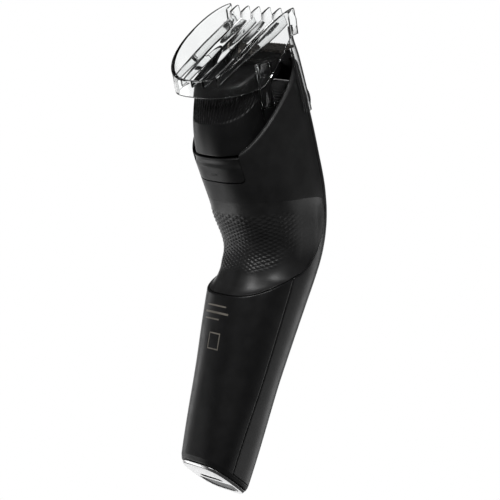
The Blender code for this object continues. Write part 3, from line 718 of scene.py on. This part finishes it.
def tab_outline(grow, top):
    half, low, radius = TAB_HALF + grow, TAB_LOW - grow, TAB_CORNER + grow
    points = [(-half, top)]
    for k in range(26):
        left = k < 13
        turn = math.radians(180.0 + 7.5 * k if left else 270.0 + 7.5 * (k - 13))
        centre = -half + radius if left else half - radius
        points.append((centre + radius * math.cos(turn), low + radius + radius * math.sin(turn)))
    points.append((half, top))
    return points


def tab_low(x):
    """Tab's lower edge at x, round at its corners."""
    over = max(abs(x) - (TAB_HALF - TAB_CORNER), 0.0)
    return TAB_LOW + TAB_CORNER - math.sqrt(max(TAB_CORNER ** 2 - over ** 2, 0.0))


def release_tab():
    """Release tab: a thumb hollow along its top and a small raised dash below."""
    us = [TAB_HALF * (2.0 * f - 1.0) for f in steps(90, 27.0)]
    rows = steps(60, 9.8, 0.7, 6)

    def point(x, row, side):
        low = tab_low(x)
        s = lerp(low, TAB_HIGH, row)
        half, back, _ = station(s)
        v = back * (1.0 - min(abs(x) / half, 1.0) ** SQUARENESS) ** (1.0 / SQUARENESS)
        if side:
            return place(x, v - TAB_THICK, s)
        drop = 0.62 * smooth((s - 129.2) / 2.2) * (1.0 - smooth((s - 132.2) / 1.6) * 0.55)
        drop += rounded(TAB_HALF - abs(x), 0.35) + rounded(s - low, 0.35) + rounded(TAB_HIGH - s, 0.5)
        dash = smooth((2.0 - abs(x)) / 0.4) * smooth((0.42 - abs(s - 126.7)) / 0.3)
        return place(x, v - drop + 0.13 * dash, s)

    return shell("release_tab_fine", us, rows, point)


def base_ring(height, inset, sides=180):
    angles = [360.0 * k / sides for k in range(sides)]
    return [skin(angle, base_cut(angle, height, inset), inset) for angle in angles]


def end_cap():
    """Silver foot plate: a bevelled flange, the plug in the shells, the charging slot and a pocket."""
    profile = ((0.0, 1.30), (0.03, 1.14), (0.12, 1.02), (0.3, 0.90), (0.6, 0.78), (0.74, 0.71),
               (0.86, 0.68), (0.98, 0.74), (1.02, 0.95), (1.03, 2.8), (3.2, 2.8))
    cap = loft("end_cap_fine", [base_ring(height, inset) for height, inset in profile])
    low, high = SLOT_Y
    end = (high - low) / 2.0
    slot = []
    for k in range(24):
        turn = math.radians(-90.0 + 15.0 * k + (0.0 if k < 13 else -15.0))
        side = 1.0 if k < 13 else -1.0
        slot.append((side * (SLOT_HALF - end) + end * math.cos(turn),
                     (low + high) / 2.0 + end * math.sin(turn)))
    boolean(cap, outline("slot", BASE, "s", slot, -1.0, 4.0), "DIFFERENCE")
    pocket = loft("pocket", [base_ring(-1.0, 2.6), base_ring(POCKET_DEPTH, 2.6)])
    box = ((-20.0, -20.0), (20.0, -20.0), (20.0, POCKET_BACK), (-20.0, POCKET_BACK))
    boolean(pocket, outline("pocket_front", BASE, "s", box, -5.0, 5.0), "INTERSECT")
    boolean(cap, pocket, "DIFFERENCE")
    return cap


def pocket_shade_plate():
    """Brushed plate on the floor of the foot plate's pocket, coloured dark as painted shade."""
    plate = loft("foot_pocket_shade", [base_ring(POCKET_DEPTH - 0.22, 2.75), base_ring(POCKET_DEPTH, 2.75)])
    box = ((-20.0, -20.0), (20.0, -20.0), (20.0, POCKET_BACK - 0.15), (-20.0, POCKET_BACK - 0.15))
    return boolean(plate, outline("pocket_shade_front", BASE, "s", box, -5.0, 5.0), "INTERSECT")


# ---------------------------------------------------------------- cutting head, wheel and button

def cup_depths(s):
    _, back, _ = station(s)
    over = max(s - 158.0, 0.0) / 7.0
    back_v = back - 0.3 - 17.0 * over ** 2.2
    front_v = lerp(-5.0, -12.3, smooth((s - 156.0) / 3.5))
    return CUP_HALF - 0.8 * over ** 2, back_v, front_v


def cup_angles():
    """Angles round the cup with their lengths from its back middle, even along its back."""
    table, total = [(0.0, 90.0)], 0.0
    half, back_v, front_v = cup_depths(148.0)
    x0, v0 = superellipse(90.0, half, back_v - CUP_MIDDLE, CUP_MIDDLE - front_v, CUP_SQUARENESS)
    for k in range(1, 2001):
        angle = 90.0 - 90.0 * k / 2000.0
        x1, v1 = superellipse(angle, half, back_v - CUP_MIDDLE, CUP_MIDDLE - front_v, CUP_SQUARENESS)
        total += math.hypot(x1 - x0, v1 - v0)
        table.append((total, angle))
        x0, v0 = x1, v1
    count = int(total / 0.2)
    quarter, spot = [], 0
    for k in range(1, count):
        while table[spot][0] < k * total / count:
            spot += 1
        quarter.append((table[spot][1], table[spot][0]))
    right = [(0.0, total)] + quarter[::-1] + [(90.0, 0.0)]
    left = [(180.0 - angle, -length) for angle, length in quarter] + [(180.0, -total)]
    return right + left + [(180.0 + 180.0 * k / 40.0, 99.0) for k in range(1, 40)]


def cutting_head():
    """Cup that carries the blades, open below, ribbed up its back."""
    angles = cup_angles()

    def edge(spot, s, inset):
        angle, length = spot
        half, back_v, front_v = cup_depths(s)
        if inset == 0.0 and abs(length) < 23.0:
            start = 146.0 + 5.5 * (abs(length) / 22.0) ** 3
            ribbed = smooth((s - start) / 0.7) * smooth((157.5 - s) / 6.0)
            across = length / (1.0 + RIB_FAN * (s - 146.0))
            ridge = abs(across / RIB_PITCH - round(across / RIB_PITCH)) * 2.0
            inset = RIB_DEEP * ribbed * smooth(ridge * 2.2)
        x, v = superellipse(angle, half - inset, back_v - inset - CUP_MIDDLE,
                            CUP_MIDDLE - front_v - inset, CUP_SQUARENESS)
        return x, v + CUP_MIDDLE

    outer = [CUP_BOTTOM, CUP_BOTTOM + 0.15, CUP_BOTTOM + 0.5] + [135.0 + 0.6 * k for k in range(17)]
    outer += [145.6 + 0.35 * k for k in range(33)] + [157.4 + 0.4 * k for k in range(17)]
    outer += [164.0, 164.35, 164.55, 164.6]
    rings = []
    inner = [s for s in outer if s <= 162.9]
    for s in reversed(inner):
        low = s if s > CUP_BOTTOM + 0.1 else CUP_BOTTOM
        rings.append([place(*edge(a, low, CUP_WALL), low) for a in angles])
    for s in outer:
        soft = rounded(s - CUP_BOTTOM, 0.3) + rounded(164.6 - s, 0.5)
        rings.append([place(*edge(a, s, soft), s) for a in angles])
    cup = loft("cutting_head_fine", rings)
    seat = ((-30.0, -30.0), (30.0, -30.0), (30.0, -6.2), (-30.0, -6.2))
    boolean(cup, outline("blade_seat", HEAD, "s", seat, 162.8, 175.0), "DIFFERENCE")
    window = ((-9.0, -10.4), (9.0, -10.4), (9.0, -2.0), (-9.0, -2.0))
    boolean(cup, outline("fork_window", HEAD, "s", window, 158.0, 168.0), "DIFFERENCE")
    return cup


def spun(name, matrix, profile, sides, ribs=0, deep=0.0, loop=False):
    """Turned solid about a frame's z from (radius, height, share of the ribs) points."""
    rings = []
    for radius, height, share in profile:
        ring = []
        for k in range(sides):
            turn = 2.0 * math.pi * k / sides
            r = radius - deep * share * (0.5 - 0.5 * math.cos(ribs * turn))
            spot = matrix @ (Vector((r * math.cos(turn), r * math.sin(turn), height)) * MM)
            ring.append(tuple(spot / MM))
        rings.append(ring)
    return loft(name, rings, loop)


def zoom_wheel():
    """Ribbed thumb wheel, its ribs across the rim, with a bore for the axle."""
    half, radius, bore = WHEEL_HALF, WHEEL_RADIUS, AXLE_BORE
    edge = ((radius - 1.2, half, 0.0), (radius - 0.45, half - 0.08, 0.0), (radius - 0.1, half - 0.4, 0.4),
            (radius, half - 0.9, 1.0))
    profile = [(bore, -half, 0.0)] + [(r, -height, share) for r, height, share in edge]
    profile += list(reversed(edge)) + [(bore, half, 0.0)]
    spot = HEAD @ Matrix.Translation(Vector((WHEEL_V, WHEEL_S, 0.0)) * MM)
    return spun("zoom_wheel_fine", spot, profile, WHEEL_RIBS * 8, WHEEL_RIBS, WHEEL_RIB_DEEP, True)


def power_button():
    """Round dished button on its stem, its face towards the front."""
    r = BUTTON_RADIUS
    profile = [(2.0, 0.0, 0.0), (2.0, 0.9, 0.0), (r, 0.9, 0.0), (r, 3.75, 0.0), (r - 0.07, 4.02, 0.0),
               (r - 0.25, 4.22, 0.0), (r - 0.5, 4.3, 0.0), (r - 0.8, 4.28, 0.0)]
    for k in range(1, 12):
        f = k / 12.0
        profile.append(((r - 0.8) * (1.0 - f), 4.28 - 0.45 * math.sin(f * math.pi / 2.0), 0.0))
    to_front = Matrix.Rotation(math.radians(-90.0), 4, "Y")
    spot = NECK @ Matrix.Translation(Vector((-16.0, BUTTON_S, 0.0)) * MM) @ to_front
    return spun("power_button_fine", spot, profile, 96)


def rear_marks():
    """Plain printed bars and an open square on the rear panel, standing in for small print."""
    bars = ((7.0, -4.4, 64.0, 0.55), (7.6, -6.0, 61.4, 0.75), (7.2, -1.6, 58.9, 0.55))
    strips = [(x1, x0, s - w / 2, s + w / 2) for x0, x1, s, w in bars]
    strips += [(-3.7, 2.5, 53.5, 53.95), (-3.7, 2.5, 47.6, 48.05)]
    strips += [(-3.7, -3.25, 48.05, 53.5), (2.05, 2.5, 48.05, 53.5)]
    marks = None
    for x0, x1, s0, s1 in strips:
        columns = max(int((x1 - x0) / 0.5), 2)
        rows = max(int((s1 - s0) / 1.0), 1)

        def point(u, w, side):
            half, back, _ = station(w)
            v = back * (1.0 - (abs(u) / half) ** SQUARENESS) ** (1.0 / SQUARENESS)
            return place(u, v + 0.02 - 0.05 * side, w)

        us = [lerp(x0, x1, k / columns) for k in range(columns + 1)]
        bar = shell("rear_marks", us, [lerp(s0, s1, k / rows) for k in range(rows + 1)], point)
        marks = bar if marks is None else weld(marks, bar)
    return marks


# ---------------------------------------------------------------- comb

def comb_plan(angle, inset):
    if 0.0 <= angle <= 180.0:
        x, v = superellipse(angle, COMB_HALF - inset, COMB_BACK - COMB_FLANK - inset, 0.0, COMB_SQUARENESS)
        return x, v + COMB_FLANK
    forward = (angle - 180.0) if angle > 180.0 else -angle
    reach = forward / 60.0
    v = COMB_FLANK - 20.4 * reach
    x = COMB_HALF - 1.5 * reach ** 2 - inset
    return (x if angle < 0.0 else -x), v


def band_back(x):
    """How far back the band's outer side lies at x."""
    fall = 1.0 - (abs(x) / COMB_HALF) ** COMB_SQUARENESS
    return COMB_FLANK + (COMB_BACK - COMB_FLANK) * fall ** (1.0 / COMB_SQUARENESS)


def comb_top(v):
    reach = (v - COMB_TIP[0]) / (COMB_BACK - COMB_TIP[0])
    return COMB_TIP[1] - (COMB_TIP[1] - BAND_TOP) * min(max(reach, 0.0), 1.0) ** 1.6


def comb_low(v):
    ahead = COMB_FLANK - v
    return BAND_LOW + 0.44 * (ahead + math.sqrt(ahead ** 2 + 6.0))


def front_arm(side):
    us = steps(8, 5.0, 0.3, 2)
    rows = steps(26, 33.0, 0.4, 2)

    def point(u, w, layer):
        s = lerp(*ARM_SPAN, w)
        inset = -0.3 - ARM_THICK * (1 - layer)
        x, v = section(lerp(*ARM_ANGLES, u), min(s - COMB_DROP, 166.0), inset)
        return place(-side * (x + 0.8 * smooth((s - 163.0) / 9.0)), v, s)

    return shell("front_arm", us, rows, point)


def tooth_line():
    """Side view of a comb tooth, its back end curving down into the band."""
    top = [(-14.7, 174.8), (-14.3, 176.6), (-13.9, 178.2), (-13.6, 180.0), (-13.5, 181.6), (-12.6, 181.5),
           (-11.0, 181.0), (-9.2, 180.3), (-8.75, 179.3), (-8.6, 178.0), (-3.0, 175.7), (5.4, 172.3),
           (10.0, 170.2), (14.3, 168.0), (18.5, 165.9), (21.6, 164.2), (23.6, 163.0)]
    under = [(23.6, 160.8), (20.5, 161.8), (17.0, 163.4), (12.8, 165.1), (8.7, 166.7), (2.0, 168.8),
             (-4.7, 170.6), (-10.0, 172.6)]
    return top + under


def comb():
    """Clear zoom comb: a tall curved band, five teeth, cheeks, guide arms and front arms."""
    us = [lerp(-60.0, 240.0, f) for f in steps(150, 120.0, 0.5, 3)]
    rows = steps(8, 8.0, 0.9, 6)

    def point(angle, row, side):
        _, v_out = comb_plan(angle, 0.0)
        low, high = comb_low(v_out), comb_top(v_out)
        s = lerp(low, high, row)
        soft = rounded(s - low, 0.4) + rounded(high - s, 0.62)
        return place(*comb_plan(angle, COMB_WALL - soft if side else soft), s)

    body = shell("comb_fine", us, rows, point)
    for k in range(-2, 3):
        x = k * TOOTH_PITCH
        end = band_back(abs(x) + TOOTH_THICK / 2) - 0.5
        line = [(min(v, end), s) for v, s in tooth_line()]
        tooth = outline("tooth", HEAD, "x", line, x - TOOTH_THICK / 2, x + TOOTH_THICK / 2, TOOTH_EDGE, 4)
        boolean(body, tooth, "UNION")
    corner = ((-14.5, 171.6), (-14.9, 177.5), (-13.75, 181.0), (-11.6, 180.0), (-11.2, 171.6))
    front, rear = GUIDE_V
    low, web_low, top = GUIDE_S
    guide = ((front, low), (rear, low), (rear, top), (front, top))
    web = ((front, web_low), (rear, web_low), (rear, top), (front, top))
    for side in (-1, 1):
        cheek = outline("cheek", HEAD, "x", corner, *sorted((side * 17.2, side * 18.8)), 0.15)
        boolean(body, cheek, "UNION")
        boolean(body, front_arm(side), "UNION")
        arm = outline("guide", HEAD, "x", guide, *sorted((side * 16.5, side * 17.8)), 0.2)
        boolean(body, arm, "UNION")
        bridge = outline("web", HEAD, "x", web, *sorted((side * 17.0, side * 19.9)), 0.0)
        boolean(body, bridge, "UNION")
    shade(body.data, 30.0)
    return body


# ---------------------------------------------------------------- the object

piece(rear_cover(), "panel", "housing", "housing_gloss", "rear_cover")
piece(rear_marks(), "ink", "housing", "housing_gloss")
piece(front_housing(), "front", "housing", "housing_satin", "front_housing")
piece(grip_housing(), "grip", "housing", "grip_black", "grip_housing")
piece(head_housing(), "collar", "housing", "housing_satin", "head_housing")
piece(release_tab(), "tab", "release_tab", "housing_satin", "release_tab")
piece(end_cap(), "silver", "housing", "silver_cap", "end_cap")
# the pocket's floor plate is coloured dark as painted shade
piece(pocket_shade_plate(), "pocket_shade", "housing", "silver_cap")
piece(cutting_head(), "cup", "cutting_head", "head_black", "cutting_head_housing")
piece(zoom_wheel(), "wheel", "zoom_wheel", "wheel_grey", "zoom_wheel")
piece(power_button(), "button", "power_button", "dark_plastic", "power_button")
piece(comb(), "clear", "comb", "clear_comb", "comb")

CARRIED = {
    "charging_socket": "dark", "charge_pin_left": "steel", "charge_pin_right": "steel", "battery": "wrap",
    "battery_tab_bottom": "steel", "battery_tab_top": "steel", "circuit_board": "board",
    "button_switch": "dark", "indicator_light": "light", "base_screw_left": "steel",
    "base_screw_right": "steel", "motor": "can", "drive_shaft": "steel", "eccentric": "white",
    "drive_seal": "rubber", "motor_chassis": "dark", "deck_screw_left": "steel",
    "deck_screw_right": "steel", "release_spring": "steel", "fixed_blade": "blade",
    "moving_blade": "blade", "blade_carrier": "dark", "drive_fork": "white", "wheel_axle": "steel",
    "pinion_left": "white", "pinion_right": "white", "detent_spring": "steel", "zoom_carriage": "dark",
}
for node, look in CARRIED.items():
    dress(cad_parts[node], look)


# ---------------------------------------------------------------- floor, camera and light

spin = Matrix.Rotation(-LEAN, 3, "X")
toward = Vector((-math.sin(CAMERA_AZIMUTH) * math.cos(CAMERA_ELEVATION),
                 math.cos(CAMERA_AZIMUTH) * math.cos(CAMERA_ELEVATION), math.sin(CAMERA_ELEVATION)))
across = Vector((-math.cos(CAMERA_AZIMUTH), -math.sin(CAMERA_AZIMUTH), 0.0))
upward = toward.cross(across)
right = spin @ (across * math.cos(CAMERA_ROLL) + upward * math.sin(CAMERA_ROLL))
up = spin @ (upward * math.cos(CAMERA_ROLL) - across * math.sin(CAMERA_ROLL))
back = spin @ toward
aim = spin @ CAMERA_AIM


def make_camera():
    lens = bpy.data.cameras.new("camera")
    lens.lens = CAMERA_LENS
    lens.sensor_width = 36.0
    lens.shift_x, lens.shift_y = CAMERA_SHIFT
    lens.clip_start, lens.clip_end = 0.02, 50.0
    camera = bpy.data.objects.new("camera", lens)
    bpy.context.scene.collection.objects.link(camera)
    turn = Matrix((right, up, back)).transposed().to_4x4()
    camera.matrix_world = Matrix.Translation(aim + back * CAMERA_DISTANCE) @ turn
    bpy.context.scene.camera = camera


def softbox(name, aside, above, towards, distance, wide, tall, power):
    """Area light placed by the camera's own right, up and back, facing the object."""
    light = bpy.data.lights.new(name, "AREA")
    light.shape = "RECTANGLE"
    light.size, light.size_y = wide, tall
    light.energy = power
    item = bpy.data.objects.new(name, light)
    bpy.context.scene.collection.objects.link(item)
    way = (right * aside + up * above + back * towards).normalized()
    item.matrix_world = (Matrix.Translation(aim + way * distance)
                         @ way.to_track_quat("Z", "Y").to_matrix().to_4x4())
    return item


def make_floor():
    """Pale floor under the object; it shows from above only, so the foot can be seen from below."""
    work = bmesh.new()
    bmesh.ops.create_circle(work, cap_ends=True, segments=96, radius=3.0)
    mesh = bpy.data.meshes.new("floor")
    work.to_mesh(mesh)
    work.free()
    floor = link("floor", mesh, Matrix.Translation((0.0, 0.0, -FLOOR_DROP)))
    look = Look("floor", (0.30, 0.30, 0.30), 0.7)
    look.wear(3.0, 0.05)
    look.shader.inputs["Emission Color"].default_value = (1.0, 1.0, 1.0, 1.0)
    look.shader.inputs["Emission Strength"].default_value = FLOOR_GLOW
    tree = look.tree
    one_side = look.node("ShaderNodeMixShader")
    clear = look.node("ShaderNodeBsdfTransparent")
    facing = look.node("ShaderNodeNewGeometry")
    out = tree.nodes["Material Output"]
    look.wire(facing.outputs["Backfacing"], one_side.inputs["Fac"])
    look.wire(look.shader.outputs["BSDF"], one_side.inputs[1])
    look.wire(clear.outputs["BSDF"], one_side.inputs[2])
    look.wire(one_side.outputs["Shader"], out.inputs["Surface"])
    mesh.materials.append(look.made)
    floor.visible_diffuse = floor.visible_glossy = floor.visible_transmission = False
    floor.visible_shadow = False


def make_world():
    """White behind the object for the camera; a bright patch behind it for everything else."""
    world = bpy.data.worlds.new("studio")
    bpy.context.scene.world = world
    world.use_nodes = True
    tree = world.node_tree
    glow = tree.nodes["Background"]
    glow.inputs["Color"].default_value = (1.0, 1.0, 1.0, 1.0)
    where = tree.nodes.new("ShaderNodeTexCoord")
    aligned = tree.nodes.new("ShaderNodeVectorMath")
    aligned.operation = "DOT_PRODUCT"
    aligned.inputs[1].default_value = Vector((-back.x, -back.y, 0.0)).normalized()
    fall = tree.nodes.new("ShaderNodeMapRange")
    fall.interpolation_type = "SMOOTHSTEP"
    for key, value in PATCH:
        fall.inputs[key].default_value = value
    path = tree.nodes.new("ShaderNodeLightPath")
    pick = tree.nodes.new("ShaderNodeMix")
    pick.data_type = "FLOAT"
    pick.inputs[3].default_value = 1.0
    tree.links.new(where.outputs["Generated"], aligned.inputs[0])
    tree.links.new(aligned.outputs["Value"], fall.inputs["Value"])
    tree.links.new(path.outputs["Is Camera Ray"], pick.inputs[0])
    tree.links.new(fall.outputs["Result"], pick.inputs[2])
    tree.links.new(pick.outputs[0], glow.inputs["Strength"])


make_camera()
make_floor()
make_world()
# aside, above, towards the camera; distance, width and height in metres; watts
softbox("key", -0.55, 0.75, 0.8, 0.9, 0.35, 0.35, 3.0)
softbox("side", 1.0, -0.45, -0.62, 0.7, 0.40, 0.40, 0.65)
softbox("low", 1.0, -0.55, -0.05, 0.7, 0.40, 0.40, 0.35)
softbox("edge", -1.0, -0.28, -0.60, 0.8, 0.25, 0.7, 1.0)
softbox("front", 0.24, 0.38, 0.90, 0.8, 0.12, 0.09, 1.3)
bpy.context.scene.view_settings.view_transform = "Standard"
